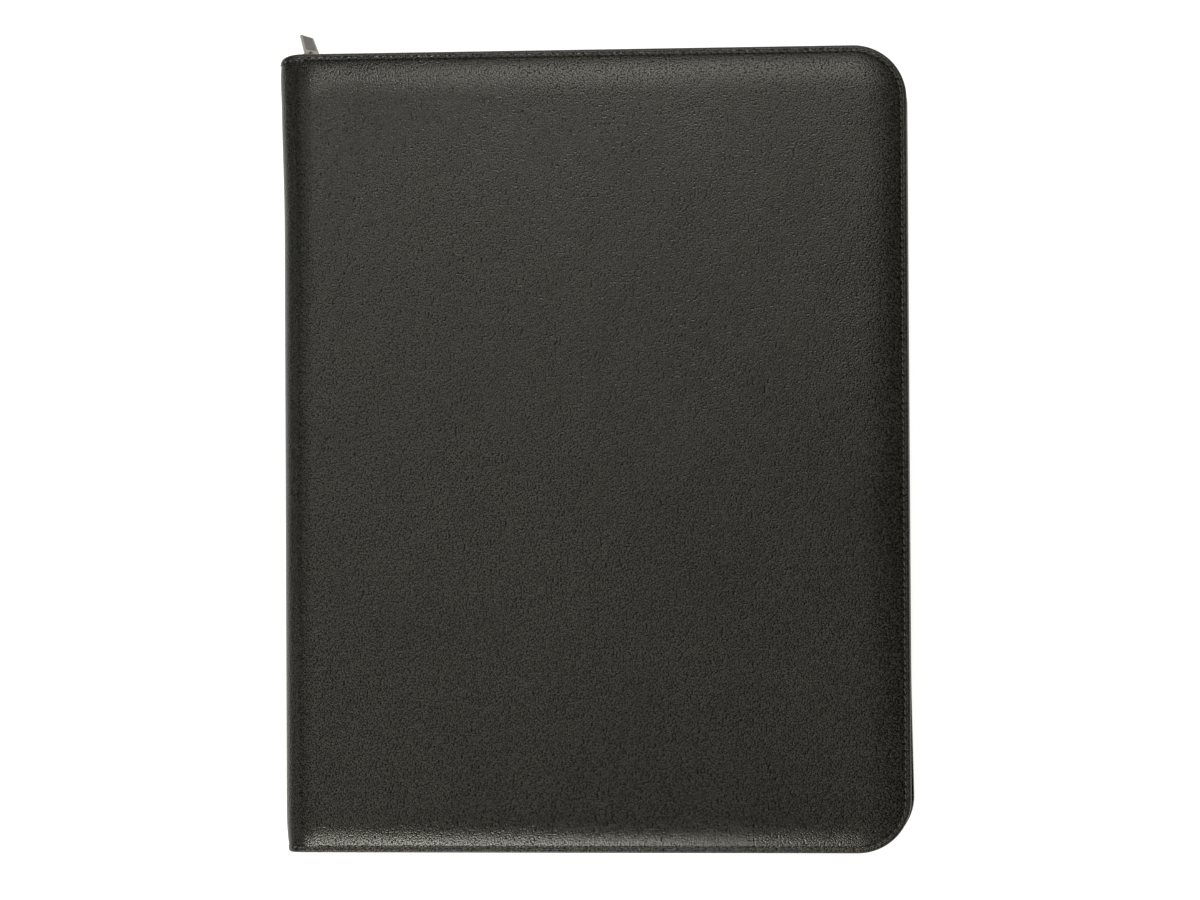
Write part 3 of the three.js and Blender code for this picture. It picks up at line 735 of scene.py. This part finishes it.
def make_tape(side):
    """Zip tape: sewn in flat under the cover's edge, then standing as the case's wall up to its teeth."""
    points, normals = zip_path(ZIP_INSET, TAPE_END_X)
    flange = np.mean([UNDER_Z[side], LINING_Z[side]])
    sign = 1 if side == "front" else -1
    row = ROW_FRONT[1] if side == "front" else ROW_BACK[0]
    height = abs(flange - row)
    route = tape_route(height)
    across = right_of(unit_rows(np.gradient(route, axis=0))) * TAPE_HALF
    section = np.concatenate([route + across, (route - across)[::-1]])
    lift = np.zeros(len(points))
    if side == "front":
        at_head = (points[:, 1] > 0) & (normals[:, 1] > 0.999)
        clear = SLIDER_RIGHT + 0.5
        lift = np.where(at_head, TAPE_LIFT * (1 - ease(points[:, 0], clear, clear + 5.0)), 0.0)
    rows = []
    for out, down in section:
        share = max(down, 0.0) / height
        z = flange - sign * down + sign * lift * ease(share, 0.3, 1.0)
        rows.append(np.column_stack([points + normals * out, z]))
    obj = loft(f"tape_{side}", np.stack(rows, 1), "tape", 50)
    ride(obj, BODY[side], [f"zip_tape_{side}"])


TOOTH_SIDE = [(0.42, 0.0), (0.42, 2.2), (0.58, 2.6), (0.58, 3.3), (0.3, 3.75)]  # (along the row, height)
TOOTH_PITCH = 2.5
TOOTH_THICK = 2.0
TOOTH_BEVEL = 0.14
TOOTH_ROW_END = 0.8  # from the end of the row to its first tooth


def make_teeth(side):
    """One row of teeth; the front row starts beyond the parked slider."""
    sign = 1 if side == "back" else -1
    base = ROW_BACK[0] if side == "back" else ROW_FRONT[1]
    points, normals = zip_path(ZIP_INSET, node_box("zip_teeth_back")[0][0], 1.0)
    lengths = distances(points)
    first_place = TOOTH_ROW_END + (0 if side == "back" else TOOTH_PITCH / 2)
    places = np.arange(first_place, lengths[-1] - TOOTH_ROW_END, TOOTH_PITCH)
    stations = points_at(places, lengths, np.column_stack([points, normals]))
    profile = TOOTH_SIDE + [(-a, h) for a, h in TOOTH_SIDE[::-1]]
    m = len(profile)
    clear = SLIDER_RIGHT + 5.0
    verts, faces = [], []
    for x, y, out_x, out_y in stations:
        if side == "front" and y > 0 and x < clear and out_y > 0.9:
            continue
        out = np.array([out_x, out_y, 0.0])
        out /= np.linalg.norm(out)
        along = np.array([-out[1], out[0], 0.0])
        first = len(verts)
        for share, bevel in ((-0.5, TOOTH_BEVEL), (-0.4, 0.0), (0.4, 0.0), (0.5, TOOTH_BEVEL)):
            for a, h in profile:
                narrow = a * (1 - bevel / 0.6)
                tall = h - (bevel if h > 3.4 else 0)
                place = np.array([x, y, base + sign * tall])
                verts.append(place + along * narrow + out * share * TOOTH_THICK)
        faces += strip_faces(4, m, close_columns=True, start=first)
        faces.append(tuple(first + j for j in range(m - 1, -1, -1)))
        faces.append(tuple(first + 3 * m + j for j in range(m)))
    obj = point_outwards(add_mesh(f"teeth_{side}", verts, faces, "teeth"))
    return ride(by_angle(obj, 30), BODY[side], [f"zip_teeth_{side}"])


# ---------------------------------------------------------------- pull

JOINTS = {j["name"]: j for j in frame["joints"]}

LINK_LENGTH = 3.6
LINK_RADIUS = 1.35
LINK_WIRE = 0.48
TAB_LEAN = math.radians(30)
TAB = {"length": 15.3, "root": 6.9, "tip": 5.9, "slant": 0.6, "behind": 1.9, "thick": 1.0, "hole": 1.0}
TAB_EDGE = 0.16  # how far its edges are rounded off
PANEL = {"inset": 0.95, "start": 2.6, "slope": 0.22, "floor": 0.72}  # floor: share of the half thickness


def pull_axes():
    """The bail's rod and the tab's hole, and the link's and the tab's own axes (across, along, through)."""
    bail = Vector(JOINTS["pull_swing"]["pos_m"])
    hole = Vector(JOINTS["tab_swing"]["pos_m"])
    through = Vector(JOINTS["tab_swing"]["axis"]).normalized()
    across = (hole - bail).cross(through).normalized()
    along = through.cross(across)
    tilt = math.asin(-(hole - bail).dot(through) / (LINK_LENGTH * MM))
    link_along = along * math.cos(tilt) - through * math.sin(tilt)
    link_through = along * math.sin(tilt) + through * math.cos(tilt)
    link = Matrix((across, link_along, link_through)).transposed()
    return bail, hole, link, Matrix((across, along, through)).transposed()


def in_frame(points, origin, axes):
    """Points on local axes with an origin in metres, moved to the part's frame; all in millimetres."""
    return np.array([tuple(axes @ Vector(p) + origin / MM) for p in points])


def make_link():
    """The wire link: two straight sides joined by two half circles."""
    bail, _, axes, _ = pull_axes()
    r = LINK_RADIUS
    turn = np.linspace(0, math.pi, 17)
    centre = [(0, -r * math.sin(a), -r * math.cos(a)) for a in turn]
    centre += [(0, LINK_LENGTH + r * math.sin(a), r * math.cos(a)) for a in turn]
    centre = np.array(centre)
    ahead = unit_rows(np.roll(centre, -1, 0) - np.roll(centre, 1, 0))
    side = np.array([1.0, 0, 0])
    section = around(12)
    points = []
    for c, t in zip(centre, ahead):
        up = np.cross(side, t)
        points += [c + LINK_WIRE * (side * math.cos(a) + up * math.sin(a)) for a in section]
    faces = strip_faces(len(centre), len(section), close_rows=True, close_columns=True)
    obj = point_outwards(add_mesh("link_wire", in_frame(points, bail, axes), faces, "pull"))
    return ride(obj, "pull_link", ["pull_link"])


def tab_outline(inset=0.0):
    """Tab outline with rounded corners; the tip is cut at a slant."""
    root, tip, end = TAB["root"] / 2, TAB["tip"] / 2, TAB["length"]
    corners = [  # (x, y, rounding)
        (-tip, end + TAB["slant"], 0.45),
        (-root, -0.5, 0.7),
        (-root + 1.1, -TAB["behind"], 0.8),
        (root - 1.1, -TAB["behind"], 0.8),
        (root, -0.5, 0.7),
        (tip, end - TAB["slant"], 0.45),
    ]
    points = []
    for i, (x, y, r) in enumerate(corners):
        here = np.array([x, y])
        before = np.array(corners[i - 1][:2]) - here
        after = np.array(corners[(i + 1) % len(corners)][:2]) - here
        before /= np.linalg.norm(before)
        after /= np.linalg.norm(after)
        for t in np.linspace(0, 1, 6):
            points.append(here + before * r * (1 - t) ** 2 + after * r * t**2)
    return shrink(np.array(points), inset)


def make_tab():
    """The pull's tab: a plate with a hole for the link and a shallow panel sunk in both faces."""
    _, hole, _, axes = pull_axes()
    turned = axes @ Matrix.Rotation(TAB_LEAN, 3, "Z")
    half = TAB["thick"] / 2
    panel = tab_outline(PANEL["inset"])
    panel[:, 1] = np.maximum(panel[:, 1], PANEL["start"])
    floor = shrink(panel, PANEL["slope"])
    turns = around(24)
    bore = TAB["hole"] * np.column_stack([np.cos(turns), np.sin(turns)])
    work = bmesh.new()

    def ring(points, z):
        return [work.verts.new((*p, z)) for p in points]

    def wall(lower, upper):
        for j, v in enumerate(lower):
            k = (j + 1) % len(lower)
            work.faces.new((v, lower[k], upper[k], upper[j]))

    levels = ((TAB_EDGE, -half), (0.0, -half + TAB_EDGE), (0.0, half - TAB_EDGE), (TAB_EDGE, half))
    loops = [ring(tab_outline(inset), z) for inset, z in levels]
    for lower, upper in zip(loops, loops[1:]):
        wall(lower, upper)
    bores = [ring(bore, -half), ring(bore, half)]
    for j, v in enumerate(bores[0]):
        k = (j + 1) % len(bore)
        work.faces.new((v, bores[1][j], bores[1][k], bores[0][k]))
    for outer, z, inner in ((loops[0], -half, bores[0]), (loops[-1], half, bores[1])):
        rim = ring(panel, z)
        base = ring(floor, z * PANEL["floor"])
        wall(rim, base)
        work.faces.new(base)
        edges = []
        for group in (outer, inner, rim):
            for j, v in enumerate(group):
                pair = (v, group[(j + 1) % len(group)])
                edges.append(work.edges.get(pair) or work.edges.new(pair))
        bmesh.ops.triangle_fill(work, use_beauty=True, use_dissolve=False, edges=edges)
    bmesh.ops.remove_doubles(work, verts=work.verts, dist=1e-5)
    bmesh.ops.recalc_face_normals(work, faces=work.faces)
    work.verts.index_update()
    points = in_frame([v.co for v in work.verts], hole, turned)
    obj = add_mesh("tab_plate", points, [[v.index for v in f.verts] for f in work.faces], "pull")
    work.free()
    return ride(by_angle(obj, 30), "pull_tab", ["pull_tab"])


# ---------------------------------------------------------------- ring mechanism

RING_RADIUS = 8.8
RING_WIRE = 1.3
RING_ROOT = 5.6
RING_GAP = 0.16  # from the middle to where each half ends


def curve_through(points, steps):
    """A smooth curve through points, with some steps between each two."""
    fine = []
    last = len(points) - 1
    for i in range(last):
        p0, p1 = points[max(i - 1, 0)], points[i]
        p2, p3 = points[i + 1], points[min(i + 2, last)]
        slope = p2 - p0
        bend = 2 * p0 - 5 * p1 + 4 * p2 - p3
        twist = 3 * p1 - p0 - 3 * p2 + p3
        for t in np.linspace(0, 1, steps + 1)[:-1]:
            fine.append(0.5 * (2 * p1 + slope * t + bend * t**2 + twist * t**3))
    return np.array(fine + [points[-1]])


def make_ring(side_name, side, number):
    """Half a ring: up from its blade, then round to where it meets the other half."""
    node = f"ring_{side_name}_{number}"
    low, high = node_box(node)
    plate_low, plate_high = node_box("ring_plate")
    middle_x = (plate_low[0] + plate_high[0]) / 2
    y = (low[1] + high[1]) / 2
    centre_z = high[2] - RING_WIRE - RING_RADIUS
    foot = low[2] - centre_z
    meeting = math.degrees(math.acos(RING_GAP / RING_RADIUS))
    route = [(RING_ROOT, foot), (RING_ROOT, foot + 1.2)]
    for degrees in (-38, -27, -16, -4, 8, 20, 32, 44, 56, 66, 76, meeting):
        a = math.radians(degrees)
        route.append((RING_RADIUS * math.cos(a), RING_RADIUS * math.sin(a)))
    route = curve_through(np.array(route), 4)
    ahead = unit_rows(np.gradient(route, axis=0))
    ahead[-1] = (-1, 0)
    turns = around(20)
    rows = []
    for i, (p, across) in enumerate(zip(route, right_of(ahead))):
        radius = RING_WIRE * (0.86 if i == 0 else 1.0)
        reach = radius * np.cos(turns)
        x = middle_x + side * (p[0] + across[0] * reach)
        rows.append(np.column_stack([x, y + radius * np.sin(turns), centre_z + p[1] + across[1] * reach]))
    obj = loft(f"wire_{side_name}_{number}", rows, "chrome")
    return ride(obj, f"rings_{side_name}", [node])


# ---------------------------------------------------------------- inside

PANEL_LEFT = node_box("back_lining")[0][0]
LINING_INSET = CROWN_START + 0.3
SEAM_INSET = 4.6


def make_linings():
    for side in ("front", "back"):
        low, high = node_box(f"{side}_lining")
        loop = outline(LINING_INSET, PANEL_LEFT)
        cloth = flat_piece(f"lining_{side}_cloth", loop, (low[2], high[2]), "lining")
        ride(cloth, BODY[side], [f"{side}_lining"])
        z = low[2] + 0.02 if side == "front" else high[2] - 0.02
        up = -1.0 if side == "front" else 1.0
        line = zip_path(SEAM_INSET, PANEL_LEFT + 2)[0]
        stitch_row(f"lining_stitches_{side}", line, z, BODY[side], "lining", up)


def hinge_cloth(side):
    """Lining that runs from the cover's lining, round inside the spine, to the middle of the spine."""
    sign = 1 if side == "front" else -1
    lining_low, lining_high = node_box(f"{side}_lining")
    spine_x = node_box("spine_lining")[1][0]
    reach = abs(np.mean([lining_low[2], lining_high[2]]) - MIDDLE)
    radius = PANEL_LEFT - 0.4 - spine_x
    route = [(spine_x, h) for h in np.linspace(0, reach - radius, 10)[:-1]]
    for a in np.linspace(0, math.pi / 2, 14):
        route.append((spine_x + radius * (1 - math.cos(a)), reach - radius + radius * math.sin(a)))
    route = np.array(route)
    across = right_of(unit_rows(np.gradient(route, axis=0)))
    lengths = distances(route)
    half_y = TOP - SEAM_INSET
    ys = np.linspace(-half_y, half_y, 60)
    points, flat = [], []
    for offset in (-0.2, 0.2):
        for (x, h), u in zip(route + across * offset, lengths):
            points += [(x, y, MIDDLE + sign * h) for y in ys]
            flat += [(u * MM, y * MM) for y in ys]
    n, m = len(route), len(ys)
    faces = strip_faces(n, m) + strip_faces(n, m, start=n * m)
    edge = [i * m for i in range(n)]
    edge += [(n - 1) * m + j for j in range(1, m)]
    edge += [i * m + m - 1 for i in range(n - 2, -1, -1)]
    edge += list(range(m - 2, 0, -1))
    for a, b in zip(edge, edge[1:] + edge[:1]):
        faces.append((a, b, b + n * m, a + n * m))
    obj = point_outwards(add_mesh(f"hinge_cloth_{side}", points, faces, "hinge", {"flat": np.array(flat)}))
    by_angle(obj, 50)
    bend_over_spine(obj)
    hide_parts("spine_lining")


MOUTH_LEFT, MOUTH_RIGHT = 8.0, 48.0  # heights of the document pocket's mouth
BINDING_WIDTH = 9.0
SEWN_IN = 1.8  # from a pocket's edge to its stitches


def make_document_pocket():
    """In the front cover; its mouth is cut on a slant and bound with leather."""
    low, high = node_box("front_pocket")
    left, right = low[0], high[0]
    loop = outline(TOP + low[1], left, left_radius=2.0)
    loop = np.concatenate([loop[loop[:, 1] < 0], [(right, MOUTH_RIGHT), (left, MOUTH_LEFT)]])
    pocket = flat_piece("document_pocket", loop, (low[2], high[2]), "pocket")
    ride(pocket, "front_cover", ["front_pocket"])
    binding = [
        (left, MOUTH_LEFT - BINDING_WIDTH),
        (right, MOUTH_RIGHT - BINDING_WIDTH),
        (right, MOUTH_RIGHT + 0.4),
        (left, MOUTH_LEFT + 0.4),
    ]
    trim = flat_piece("document_pocket_binding", np.array(binding), (low[2] - 0.5, low[2] - 0.05), "trim")
    ride(trim, "front_cover")
    slope = (MOUTH_RIGHT - MOUTH_LEFT) / (right - left)
    down = BINDING_WIDTH - SEWN_IN
    row = [(left + 1.5, MOUTH_LEFT - down), (right - 1.5, MOUTH_RIGHT - down - 3 * slope)]
    stitch_row("document_pocket_binding_stitches", row, low[2] - 0.52, "front_cover", "pocket_leather", -1.0)
    sewn = [p for p in shrink(loop, SEWN_IN) if p[1] < 0]
    sewn = [(left + SEWN_IN, MOUTH_LEFT - 10), *sewn, (right - SEWN_IN, MOUTH_RIGHT - 12)]
    stitch_row("document_pocket_stitches", sewn, low[2] - 0.02, "front_cover", "lining", -1.0)


def make_card_slots():
    """Three leather slots, one over the other; the last one's stitches hold all three."""
    r = 2.2
    for level in ("upper", "middle", "lower"):
        low, high = node_box(f"card_slot_{level}")
        corners = [
            (low[0] + r, low[1] + r, 180),
            (high[0] - r, low[1] + r, 270),
            (high[0] - r, high[1] - r, 0),
            (low[0] + r, high[1] - r, 90),
        ]
        loop = []
        for cx, cy, start in corners:
            for a in np.radians(np.linspace(start, start + 90, 6)):
                loop.append((cx + r * math.cos(a), cy + r * math.sin(a)))
        piece = flat_piece(f"card_pocket_{level}", np.array(loop), (low[2], high[2]), "slot")
        ride(piece, "front_cover", [f"card_slot_{level}"])
        x0, x1 = low[0] + SEWN_IN, high[0] - SEWN_IN
        mouth = [(x0, high[1] - SEWN_IN), (x1, high[1] - SEWN_IN)]
        where = (low[2] - 0.02, "front_cover", "pocket_leather", -1.0, 2.6)
        stitch_row(f"card_pocket_{level}_mouth_stitches", mouth, *where)
        if level == "lower":
            y0, y1 = low[1] + SEWN_IN, high[1] - 3
            stitch_row("card_pocket_side_stitches", [(x0, y1), (x0, y0), (x1, y0), (x1, y1)], *where)


def make_pad_pocket():
    """On the back cover, open at the spine side, where it is bound with leather."""
    low, high = node_box("back_pocket")
    left = low[0]
    loop = outline(RIGHT - high[0], left, left_radius=2.0)
    pad = flat_piece("pad_pocket", loop, (low[2], high[2]), "pocket")
    ride(pad, "back_cover", ["back_pocket"])
    y = high[1]
    right = left + BINDING_WIDTH
    strip = np.array([(left - 0.3, -y), (right, -y), (right, y), (left - 0.3, y)])
    trim = flat_piece("pad_pocket_binding", strip, (high[2] + 0.05, high[2] + 0.5), "trim")
    ride(trim, "back_cover")
    x = right - SEWN_IN
    row = [(x, -y + 1.5), (x, y - 1.5)]
    stitch_row("pad_pocket_binding_stitches", row, high[2] + 0.52, "back_cover", "pocket_leather")
    inner = [p for p in shrink(loop, SEWN_IN) if p[0] > left + 12]
    stitch_row("pad_pocket_stitches", inner, high[2] + 0.02, "back_cover", "lining")


def make_pen_loop():
    """A ribbed elastic tube, open at both ends."""
    low, high = node_box("pen_loop")
    cx, radius = (low[0] + high[0]) / 2, (high[0] - low[0]) / 2
    cz = (low[2] + high[2]) / 2
    turns = around(40)
    places = np.linspace(low[1], high[1], 25)
    points = []
    for y in places:
        for r in (radius + 0.06 * math.sin(y * 2.6), radius - 0.75):
            points += [(cx + r * math.cos(a), y, cz + r * math.sin(a)) for a in turns]
    n, m = len(places), len(turns)
    faces = []
    for i in range(n - 1):
        for j in range(m):
            k = (j + 1) % m
            a, b = i * 2 * m, (i + 1) * 2 * m
            faces.append((a + j, a + k, b + k, b + j))
            faces.append((a + m + j, b + m + j, b + m + k, a + m + k))
    for end in (0, (n - 1) * 2 * m):
        for j in range(m):
            k = (j + 1) % m
            faces.append((end + j, end + k, end + m + k, end + m + j))
    obj = point_outwards(add_mesh("pen_elastic", points, faces, "elastic"))
    ride(by_angle(obj, 50), "front_cover", ["pen_loop"])


PAD_INSETS = (7.5, 7.6, 9.0, 11.0, 13.5, 16.5, 20.0, 26.0)


def make_padding():
    """The foam under each cover's leather, crowned as the leather is and a leather's thickness below it."""
    for side in ("front", "back"):
        low, high = node_box(f"{side}_foam")
        floor_depth = THICK - low[2] if side == "front" else high[2]
        loops = []
        for inset in PAD_INSETS:
            loop = outline(inset, PANEL_LEFT + 0.4 * inset)
            u = FLAT_START + loop[:, 0] - LEFT - ARC
            depth = skin_depth(side, u, loop[:, 1], inset) + LEATHER_THICK
            depth = np.minimum(depth, floor_depth - 0.1)
            if not loops:
                depth = np.full(len(loop), floor_depth)
            loops.append(np.column_stack([loop, THICK - depth if side == "front" else depth]))
        pad = loft(f"padding_{side}", loops, "foam")
        ride(pad, BODY[side], [f"{side}_foam"])


# ---------------------------------------------------------------- build

make_leather()
make_linings()
for half in ("front", "back"):
    hinge_cloth(half)
    make_tape(half)
    make_teeth(half)
make_link()
make_tab()
for number in range(1, 5):
    make_ring("left", -1, number)
    make_ring("right", 1, number)
make_document_pocket()
make_card_slots()
make_pad_pocket()
make_pen_loop()
make_padding()

CARRIED = {
    "board": ["front_board", "back_board", "spine_board"],
    "zip_metal": ["zip_slider", "zip_head_stop", "zip_foot_stop"],
    "chrome": ["ring_plate", "ring_blade_left", "ring_blade_right"]
    + [f"{part}_{end}" for part in ("lever", "lever_pin", "rivet") for end in ("head", "foot")],
}
for material, names in CARRIED.items():
    for name in names:
        node = frame["nodes"][name]
        node.data.materials.clear()
        node.data.materials.append(MATERIALS[material])
        if material != "board":
            by_angle(node, 30)
            bevelled(node, 0.12)

# ---------------------------------------------------------------- stage, light and camera


def stage_floor():
    half = 6000.0
    corners = [(-half, -half, 0), (half, -half, 0), (half, half, 0), (-half, half, 0)]
    floor = add_mesh("floor", corners, [(0, 1, 2, 3)], "paper")
    floor.location.z = -0.6 * MM


WARM = (1.0, 0.965, 0.86)


def soft_light(name, size, power, place):
    """A warm rectangular light aimed at the middle of the case."""
    data = bpy.data.lights.new(name, "AREA")
    data.shape = "RECTANGLE"
    data.size, data.size_y = size
    data.energy = power
    data.color = WARM
    light = add_object(name, data)
    light.location = place
    light.rotation_euler = (-Vector(place)).to_track_quat("-Z", "Y").to_euler()


def light_scene():
    scene = bpy.context.scene
    scene.view_settings.view_transform = "Standard"
    scene.view_settings.look = "None"
    scene.view_settings.exposure = 0.0
    world = bpy.data.worlds.new("studio")
    scene.world = world
    world.use_nodes = True
    background = world.node_tree.nodes["Background"]
    background.inputs[0].default_value = (1, 1, 1, 1)
    background.inputs[1].default_value = 0.03
    soft_light("head_softbox", (0.45, 0.35), 6.6, (-0.02, 0.8, 1.27))
    soft_light("foot_softbox", (0.2, 0.25), 6.3, (-0.25, -0.95, 0.65))
    soft_light("overhead_left", (0.8, 0.8), 2.6, (-0.55, 0.15, 1.6))


def place_camera():
    """Looking down on the front cover from a little to the fore-edge side, from some way off."""
    data = bpy.data.cameras.new("camera")
    data.sensor_width = 36.0
    data.lens = 117.8
    data.clip_start = 0.01
    camera = add_object("camera", data)
    camera.location = (0.1528, -0.0356, 1.7)
    yaw, pitch, roll = (math.radians(a) for a in (5.147, 1.222, -0.303))
    turned = Matrix.Rotation(yaw, 3, "Y") @ Matrix.Rotation(pitch, 3, "X") @ Matrix.Rotation(roll, 3, "Z")
    camera.rotation_euler = turned.to_euler()
    bpy.context.scene.camera = camera


stage_floor()
light_scene()
place_camera()
